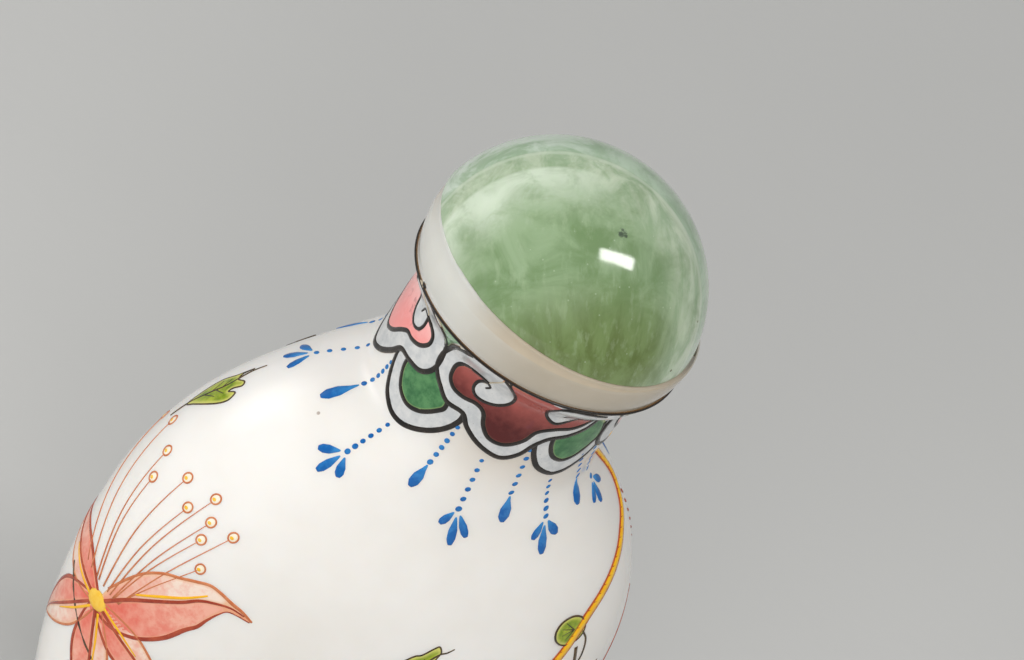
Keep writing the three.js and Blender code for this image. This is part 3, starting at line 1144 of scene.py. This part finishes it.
def cord(paints, route):
    """A painted gold cord with thin outlines and slanting twist lines."""
    stroke(paints["cord_gold"], route, CORD_WIDTH, 0.07, 0.05)
    curve = curve_through(route, steps=24)
    surface = skin(curve[:, 0], curve[:, 1])
    travelled = np.concatenate([[0], np.cumsum(np.linalg.norm(np.diff(surface, axis=0), axis=1))])

    def place_at(reach):
        return (np.interp(reach, travelled, curve[:, 0]), np.interp(reach, travelled, curve[:, 1]))

    for side in (-1, 1):
        edge_line = offset_route(route, 0.5 * side * CORD_WIDTH)
        stroke(paints["cord_line"], edge_line, 0.08, 0.06, 0.03)
    for reach in np.arange(0.3, travelled[-1] - 0.5, TWIST_STEP):
        twist = []
        for side, ahead in ((-0.42, -0.2), (0.0, 0.06), (0.42, 0.36)):
            place, later = place_at(reach + ahead), place_at(reach + ahead + 0.1)
            twist.append(beside(place, later, side * CORD_WIDTH))
        stroke(paints["cord_line"], twist, (0.03, 0.075, 0.03), 0.1, 0.025, steps=4)


def beside(place, later, distance):
    """The place that lies a distance to the side of a line through two places."""
    per_degree, per_drop = chart_scale(*place)
    ahead = np.array([(later[0] - place[0]) * per_degree, (later[1] - place[1]) * per_drop])
    ahead /= max(np.linalg.norm(ahead), TINY)
    return (place[0] - ahead[1] * distance / per_degree, place[1] + ahead[0] * distance / per_drop)


def offset_route(route, distance):
    """A route that runs beside another one."""
    moved = []
    for index, place in enumerate(route):
        if index + 1 < len(route):
            moved.append(beside(place, route[index + 1], distance))
        else:
            before = route[index - 1]
            moved.append(beside(place, between(before, place, 2), distance))
    return moved


def round_leaf(paints, patch, radius=1.15):
    """A small round lotus leaf with a dark outline and veins."""
    outline = []
    for step in range(12):
        angle = 2 * math.pi * step / 12
        reach = radius * (1 + 0.06 * math.sin(2 * angle + 1))
        outline.append((reach * math.cos(angle), reach * math.sin(angle)))
    fill(paints["leaf_green"], patch.places(outline), 0.0, 0.06)
    stroke(paints["line_brown"], patch.places(outline), 0.15, 0.02, 0.07, closed=True)
    reach = 0.75 * radius
    for turn in (140, 175, 210, 245):
        angle = math.radians(turn)
        vein = [(0.25, 0.1), (0.1 + reach * math.cos(angle), 0.1 + reach * math.sin(angle))]
        stroke(paints["line_brown"], patch.places(vein), (0.12, 0.05), 0.05, 0.05, steps=5)


LEAF_HALF = [(0.0, 0.0), (0.55, 0.5), (1.3, 0.72), (1.75, 0.5), (2.3, 0.62), (2.8, 0.34), (3.6, 0.0)]


def lobed_leaf(paints, patch):
    """A pointed leaf with a midrib, side veins and one lobe on each side."""
    outline = LEAF_HALF + [(along, -across) for along, across in LEAF_HALF[-2:0:-1]]
    fill(paints["leaf_green"], patch.places(outline), 0.0, 0.06)
    stroke(paints["line_brown"], patch.places(outline), 0.12, 0.02, 0.06, closed=True, steps=4)
    midrib = [(-0.9, -0.25), (0, 0), (1.6, 0.05), (3.2, 0)]
    stroke(paints["line_brown"], patch.places(midrib), (0.16, 0.12, 0.05), 0.05, 0.05)
    for along in (0.9, 1.5, 2.1):
        for side in (-1, 1):
            vein = [(along, 0), (along + 0.45, side * 0.42)]
            stroke(paints["line_brown"], patch.places(vein), (0.08, 0.04), 0.05, 0.04, steps=4)


# The leaf on the left shoulder and the tip of the one low in front, in degrees and drops.
LEFT_LEAF = [
    (-97, 20.9), (-95, 20.3), (-92, 19.3), (-90, 18.5), (-89.5, 17.9), (-91, 17.5), (-92.5, 17.9),
    (-93, 17.6), (-92.5, 17.1), (-94, 17.0), (-96, 17.4), (-98, 17.2), (-98.5, 16.6), (-98.5, 17.6),
    (-99.5, 18.5), (-99, 19.4), (-98, 20.2),
]
LEFT_LEAF_RIB = [(-97, 22.2), (-97, 20.8), (-96, 19.3), (-95.5, 18), (-97.5, 16.7), (-98, 15.9)]
LEFT_LEAF_VEINS = [
    [(-96.2, 19.6), (-93.2, 18.8)], [(-95.8, 18.8), (-92.6, 18.2)], [(-96, 19.0), (-98.2, 18.4)],
    [(-95.6, 18.3), (-97.4, 17.8)],
]
FRONT_LEAF = [
    (1, 27.6), (4, 25.6), (7, 24.7), (9, 24.3), (11, 24.1), (14, 23.4), (15.5, 23.2), (17, 23.6),
    (16.5, 24.2), (17, 25.2), (15, 26.8), (10, 28.0), (5, 28.6),
]
FRONT_LEAF_RIB = [(3, 28.4), (8, 26.4), (13, 24.8), (16.5, 23.8), (19, 23.5), (21, 23.1)]
FRONT_LEAF_VEINS = [
    [(8, 26.4), (9.4, 25.0)], [(11, 25.4), (12.6, 24.3)], [(9, 26.0), (12, 26.6)],
]


def shaped_leaf(paints, outline, rib, veins):
    """A leaf with its own listed outline, midrib and side veins."""
    fill(paints["leaf_green"], outline)
    stroke(paints["line_brown"], outline, 0.14, OVER, LINE, closed=True)
    stroke(paints["line_brown"], rib, (0.1, 0.16, 0.06), COAT, LINE)
    for vein in veins:
        stroke(paints["line_brown"], vein, (0.12, 0.05), COAT, LINE)


# Half of a petal's outline, and its midrib from tip to root: along it and across it, in millimetres.
PETAL_HALF = [(0.0, 0.3), (1.6, 1.1), (3.6, 1.65), (5.6, 1.45), (7.6, 0.8), (9.0, 0.3), (10.4, 0.0)]
PETAL_RIB = [(10.0, 0.02), (7.6, 0.05), (4.6, 0.16), (2.0, 0.1)]
PETAL_YELLOW = [(0.8, 0.35), (2.8, 0.5), (5.0, 0.42)]


def petal(paints, patch, breadth=1.0, tones=("petal_coral", "petal_pale"), line="line_orange"):
    """A long pointed petal in two tones on either side of its midrib."""
    upper = [(along, breadth * across) for along, across in PETAL_HALF]
    lower = [(along, -breadth * across) for along, across in PETAL_HALF]
    for colour, side in ((tones[1], upper), (tones[0], lower)):
        fill(paints[colour], patch.places([(0, 0)] + side + PETAL_RIB), along_axis=patch.ahead())
    stroke(paints[line], patch.places(upper), (0.16, 0.2, 0.2, 0.1), OVER, LINE)
    stroke(paints["line_red"], patch.places(lower), (0.2, 0.34, 0.3, 0.12), OVER, LINE)
    stroke(paints["line_red"], patch.places([(0.4, 0)] + PETAL_RIB[::-1]), (0.3, 0.24, 0.08), COAT, LINE)
    stroke(paints["cord_gold"], patch.places(PETAL_YELLOW), (0.24, 0.22, 0.1), COAT, LINE)


# The petal that reaches across the main face, in degrees and drops from its root to its tip.
LONG_PETAL_TOP = [
    (-75, 31.8), (-71, 29.2), (-67, 27.8), (-63, 27.1), (-60, 26.6), (-57, 26.2), (-54, 26.2), (-50, 26.4),
    (-47, 26.5), (-43.5, 26.8),
]
LONG_PETAL_RIB = [
    (-75, 33.0), (-70, 31.2), (-65, 29.8), (-60, 28.5), (-57, 27.6), (-54, 27.1), (-50, 26.7), (-46, 26.7),
]
LONG_PETAL_LOW = [
    (-76, 33.8), (-70, 33.8), (-64, 33.0), (-59, 31.6), (-56, 30.1), (-54, 29.3), (-53, 28.5), (-51.5, 27.6),
    (-49.5, 27.0), (-44, 26.9),
]
LONG_PETAL_YELLOW = [(-69, 30.4), (-64, 29.1), (-60, 28.1), (-56, 26.9)]
LONG_PETAL_WAY = (0.92, 0.4)  # from its root to its tip: to the right and up


def long_petal(paints):
    for colour, side in (("petal_pale", LONG_PETAL_TOP), ("petal_coral", LONG_PETAL_LOW)):
        fill(paints[colour], side + LONG_PETAL_RIB[::-1], along_axis=LONG_PETAL_WAY)
    stroke(paints["line_orange"], LONG_PETAL_TOP, (0.2, 0.22, 0.24, 0.24, 0.3, 0.16), OVER, LINE)
    stroke(paints["line_red"], LONG_PETAL_LOW, (0.26, 0.36, 0.42, 0.3, 0.12, 0.1), OVER, LINE)
    stroke(paints["line_red"], LONG_PETAL_RIB, (0.36, 0.32, 0.28, 0.2, 0.1), COAT, LINE)
    stroke(paints["cord_gold"], LONG_PETAL_YELLOW, (0.16, 0.28, 0.24, 0.14), COAT, LINE)


def stamen(paints, start, tip, size=0.36):
    """A thin filament with a ringed yellow anther at its tip."""
    halfway = between(start, tip, 0.5)
    middle = (halfway[0] - 0.6, halfway[1] + 0.15)
    stroke(paints["line_orange"], [start, middle, between(start, tip, 0.97)], (0.14, 0.1, 0.06), 0.02, 0.04)
    dot(paints["anther_white"], tip, size, 0.82 * size, turn=70, thickness=COAT)
    pollen = (tip[0] - 0.2, tip[1] + 0.08)
    dot(paints["anther_yellow"], pollen, 0.46 * size, 0.38 * size, lift=0.02, thickness=COAT)
    patch = Patch(*tip)
    angles = np.linspace(0, 2 * math.pi, 11)[:-1]
    ring = [patch.place((0.86 * size * math.cos(angle), size * math.sin(angle))) for angle in angles]
    stroke(paints["line_orange"], ring, 0.13, OVER, LINE, closed=True, steps=3)


MAIN_FLOWER = (-76, 33.2)
MAIN_ANTHERS = [
    (-77, 22.0), (-69, 21.5), (-72, 23.2), (-66, 22.8), (-65, 24.1), (-60, 22.6), (-61, 25.7), (-86, 22.4),
    (-94, 21.8), (-83, 24.0), (-101, 23.2),
]
MAIN_PETALS = ((342, 0.85), (288, 0.95), (228, 0.9), (166, 0.85))  # turn in degrees and size


def main_flower(paints):
    """The large coral flower that wraps round the left side."""
    azimuth, drop = MAIN_FLOWER
    for turn, size in MAIN_PETALS:
        petal(paints, Patch(azimuth, drop, turn, size))
    long_petal(paints)
    for anther in MAIN_ANTHERS:
        bend = 0.3 * (anther[0] - azimuth)
        stamen(paints, (azimuth + bend, drop - 1.2), anther)
    dot(paints["anther_yellow"], MAIN_FLOWER, 0.9, 0.75, lift=0.02, thickness=0.1)


def side_flower(paints, azimuth, drop, size, turns, anthers):
    """A plainer, fuller pink flower."""
    for turn in turns:
        petal(paints, Patch(azimuth, drop, turn, size), 1.6, ("petal_pink", "petal_pink_pale"), "line_red")
    patch = Patch(azimuth, drop)
    for angle in map(math.radians, anthers):
        tip = patch.place((3.2 * math.cos(angle), 3.2 * math.sin(angle)))
        stamen(paints, (azimuth, drop), tip, 0.3)
    dot(paints["anther_yellow"], (azimuth, drop), 0.7, 0.6, lift=0.03, thickness=0.09)


def dashed_edge(paints):
    """Short red-brown dashes along the top of the pink petals on the right side."""
    for step in range(7):
        azimuth, drop = 89 + 0.5 * step, 14.6 + 0.72 * step
        dash = [(azimuth, drop), (azimuth + 1.4, drop + 0.4)]
        stroke(paints["line_red"], dash, (0.14, 0.22, 0.1), 0.02, 0.05, steps=5)


STEMS = [
    [(-88, 33.5), (-70, 37.0), (-45, 38.6), (-15, 38.0), (12, 35.6)],
    [(62, 22.5), (64, 25.0), (62, 28.4), (54, 32.6), (40, 36.4)],
    [(104, 27.5), (112, 32.0), (130, 36.0), (158, 38.0), (188, 37.2)],
    [(203, 30.0), (207, 34.0), (200, 38.0)],
]

# Leaves: azimuth, drop, turn in degrees and size.
LEAVES = [
    (-40, 38.4, 40, 1.3), (-12, 38.0, -25, 1.25),
    (14, 35.4, 50, 1.2), (45, 35.2, 20, 1.1), (52, 33.4, 110, 1.0), (120, 33.4, 60, 1.1),
    (140, 36.8, -20, 1.2), (164, 37.6, 45, 1.1), (190, 36.8, 20, 1.1), (148, 20.0, 130, 0.9),
    (-140, 22.0, 40, 0.9), (-121, 17.5, 75, 0.8),
]


def paint_flowers(paints):
    for route in STEMS:
        stroke(paints["line_brown"], route, (0.3, 0.24, 0.16), 0.0, 0.06)
    for azimuth, drop, turn, size in LEAVES:
        lobed_leaf(paints, Patch(azimuth, drop, turn, size))
    round_leaf(paints, Patch(58, 21.1))
    loop = [(62, 21.2), (64.5, 22.0), (65, 23.4), (63.5, 24.6)]
    stroke(paints["line_brown"], loop, (0.18, 0.14), 0.0, 0.06)
    main_flower(paints)
    shaped_leaf(paints, LEFT_LEAF, LEFT_LEAF_RIB, LEFT_LEAF_VEINS)
    shaped_leaf(paints, FRONT_LEAF, FRONT_LEAF_RIB, FRONT_LEAF_VEINS)
    side_flower(paints, 90, 30.6, 0.94, (20, 96, 168, 240, 312), (60, 132, 150))
    side_flower(paints, -152, 28.0, 0.66, (80, 150, 222, 295, 8), (50, 115, 190))
    dashed_edge(paints)
    cord(paints, CORD_ROUTE)
    cord(paints, BACK_CORD_ROUTE)


# How the glaze of a plain colour and of a petal differs from the collar's.
PLAIN = {"fringe_width": 0.2, "speckle": 0.0}
PETAL = {"fringe_width": 0.3, "speckle": 0.1, "lengthwise": 1.0}


def make_enamels():
    """All the enamel pieces, one for each colour."""
    looks = {
        "collar_white": enamel("enamel_white", (192, 195, 197), (216, 216, 215), (190, 176, 150)),
        "collar_black": enamel(
            "enamel_black", (16, 12, 10), (40, 32, 26), (150, 110, 60), roughness=(0.2, 0.4), **PLAIN
        ),
        "collar_crimson": shaded_red("enamel_crimson", (176, 88, 80), (82, 4, 4)),
        # Partly painted light: the rose is lighter than the crimson partly for the softbox light on the left
        # side.
        "collar_rose": shaded_red("enamel_rose", (252, 200, 196), (246, 150, 146)),
        "collar_green": enamel("enamel_green", (46, 104, 60), (86, 140, 88), (176, 190, 124), 0.26),
        "collar_pale_green": enamel("enamel_pale_green", (124, 166, 126), (160, 190, 158), (196, 200, 170)),
        "pendant_blue": enamel(
            "enamel_blue", (4, 96, 172), (62, 150, 214), (120, 184, 226), lengthwise=1.0, **PLAIN
        ),
        "cord_gold": enamel("enamel_gold", (246, 178, 8), (252, 200, 30), (222, 128, 18), 0.34, 0.0),
        "cord_line": enamel("enamel_cord_red", (168, 70, 30), (190, 92, 44), (206, 120, 60), 0.1, 0.0),
        "leaf_green": enamel("enamel_leaf", (104, 134, 6), (176, 188, 44), (214, 212, 110), 0.35),
        "line_brown": enamel("enamel_brown", (44, 38, 24), (92, 70, 40), (140, 108, 66), **PLAIN),
        "line_red": enamel("enamel_dark_red", (150, 44, 22), (186, 82, 50), (214, 128, 76), **PLAIN),
        "line_orange": enamel("enamel_orange", (196, 104, 56), (214, 136, 92), (226, 166, 110), **PLAIN),
        "petal_coral": enamel("enamel_coral", (246, 178, 156), (224, 62, 40), (240, 170, 130), **PETAL),
        "petal_pale": enamel("enamel_pale_coral", (249, 226, 210), (234, 124, 92), (240, 190, 150), **PETAL),
        "petal_pink": enamel("enamel_pink", (238, 190, 190), (222, 120, 122), (226, 160, 150), **PETAL),
        "petal_pink_pale": enamel(
            "enamel_pale_pink", (244, 214, 214), (232, 160, 158), (226, 170, 160), **PETAL
        ),
        "anther_white": enamel("enamel_cream", (250, 236, 206), (253, 246, 230), (246, 222, 186), **PLAIN),
        "anther_yellow": enamel("enamel_yellow", (246, 186, 30), (250, 206, 80), (244, 196, 90), **PLAIN),
    }
    paints = {name: Enamel(name, look) for name, look in looks.items()}
    collar(paints)
    pendants(paints["pendant_blue"])
    paint_flowers(paints)
    return [paint.make() for paint in paints.values()]


# ---- Floor, lights and camera --------------------------------------------------------------

FLOOR_SIZE = 3.0  # metres
FLOOR_CELLS = 8


def pale_floor():
    ground = Surface("pale_floor")
    cloud = ground.noise(60.0, detail=3)
    ground.colour(ground.mix(cloud, tone(204, 204, 202), tone(210, 210, 208)))
    ground.roughness(cloud, 0.6, 0.7)
    ground.bump((ground.noise(1.5, detail=4), 0.02))
    return ground.material


def make_floor():
    half = 0.5 * FLOOR_SIZE / MM
    steps = np.linspace(-half, half, FLOOR_CELLS + 1)
    points = [(x, y, 0) for y in steps for x in steps]
    faces = []
    for row in range(FLOOR_CELLS):
        for column in range(FLOOR_CELLS):
            corner = row * len(steps) + column
            faces.append([corner, corner + 1, corner + 1 + len(steps), corner + len(steps)])
    floor = mesh_object("floor", points, faces, pale_floor())


def softbox(name, azimuth, elevation, distance, size, power, long_side=(0, 0, 0), soft=0.0, glossy=True):
    """A rectangular studio light, placed by its azimuth from the main face towards +X.

    soft is how much of each side fades out. A light that isn't glossy doesn't show as a reflection."""
    target = Vector((0, 0, 48)) * MM
    turn, lift = math.radians(azimuth), math.radians(elevation)
    way = Vector((math.sin(turn) * math.cos(lift), -math.cos(turn) * math.cos(lift), math.sin(lift)))
    light = bpy.data.lights.new(name, "AREA")
    light.shape = "RECTANGLE"
    light.size = size[0] * MM
    light.size_y = size[1] * MM
    light.energy = power
    light.color = (1.0, 0.99, 0.97)
    if soft:
        fade_edges(light, soft)
    long_side = Vector(long_side) if any(long_side) else Vector((0, 0, 1)).cross(way)
    across = (long_side - long_side.dot(way) * way).normalized()
    lamp = bpy.data.objects.new(name, light)
    place = target + way * distance * MM
    turned_frame = Matrix((across, way.cross(across), way)).transposed()
    lamp.matrix_world = Matrix.Translation(place) @ turned_frame.to_4x4()
    lamp.visible_glossy = glossy
    bpy.context.scene.collection.objects.link(lamp)


def fade_edges(light, soft):
    """Makes a light's brightness fall off towards its edges, as a cloth-covered softbox does."""
    light.use_nodes = True
    tree = light.node_tree
    glow = tree.nodes["Emission"]
    place = tree.nodes.new("ShaderNodeNewGeometry").outputs["Parametric"]
    parts = tree.nodes.new("ShaderNodeSeparateXYZ")
    tree.links.new(place, parts.inputs[0])
    product = None
    for axis in (0, 1):
        centred = tree.nodes.new("ShaderNodeMath")
        centred.operation = "PINGPONG"
        centred.inputs[1].default_value = 0.5
        tree.links.new(parts.outputs[axis], centred.inputs[0])
        ramp = tree.nodes.new("ShaderNodeMapRange")
        ramp.interpolation_type = "SMOOTHSTEP"
        ramp.inputs["From Max"].default_value = soft
        tree.links.new(centred.outputs[0], ramp.inputs["Value"])
        if product is None:
            product = ramp.outputs["Result"]
            continue
        joined = tree.nodes.new("ShaderNodeMath")
        joined.operation = "MULTIPLY"
        tree.links.new(product, joined.inputs[0])
        tree.links.new(ramp.outputs["Result"], joined.inputs[1])
        product = joined.outputs[0]
    tree.links.new(product, glow.inputs["Strength"])


def make_lights():
    softbox("softbox_left", -112, 20, 430, (460, 300), 1.05, soft=0.5)
    softbox("left_fill", -100, 30, 600, (420, 420), 1.1, glossy=False)
    softbox("small_key", 48, 67, 420, (216, 68), 0.62, long_side=(0.88, -0.07, 0.47), soft=0.12)
    softbox("front_fill", -25, 24, 700, (420, 420), 2.5, glossy=False)
    world = bpy.data.worlds.new("soft_room")
    world.use_nodes = True
    backdrop = world.node_tree.nodes["Background"]
    backdrop.inputs["Color"].default_value = (0.94, 0.95, 0.96, 1)
    backdrop.inputs["Strength"].default_value = 0.32
    bpy.context.scene.world = world


def make_camera():
    across = Vector((math.cos(CAMERA_TURN), math.sin(CAMERA_TURN), 0))
    away = Vector((-math.sin(CAMERA_TURN), math.cos(CAMERA_TURN), 0))
    above = away * math.sin(CAMERA_TILT) + Vector((0, 0, math.cos(CAMERA_TILT)))
    ahead = away * math.cos(CAMERA_TILT) - Vector((0, 0, math.sin(CAMERA_TILT)))
    right = across * math.cos(CAMERA_ROLL) + above * math.sin(CAMERA_ROLL)
    up = above * math.cos(CAMERA_ROLL) - across * math.sin(CAMERA_ROLL)
    lip_middle = Vector((0, 0, RIDGE_HEIGHT))
    place = lip_middle - ahead * CAMERA_DISTANCE + right * CAMERA_RIGHT + up * CAMERA_UP
    lens = bpy.data.cameras.new("camera")
    lens.lens = CAMERA_LENS
    lens.sensor_width = 36
    lens.clip_start = 0.01
    camera = bpy.data.objects.new("camera", lens)
    turn = Matrix((right, up, -ahead)).transposed()
    camera.matrix_world = Matrix.Translation(place * MM) @ turn.to_4x4()
    bpy.context.scene.collection.objects.link(camera)
    bpy.context.scene.camera = camera


# ---- The whole scene -----------------------------------------------------------------------

make_camera()
glass_bottle = make_bottle(white_glass())
jade_stopper = make_stopper(jade())
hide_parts("bottle")
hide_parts("stopper")
for piece in [glass_bottle, jade_stopper] + make_enamels():
    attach(piece, "root")
make_floor()
make_lights()
bpy.context.scene.view_settings.view_transform = "Standard"
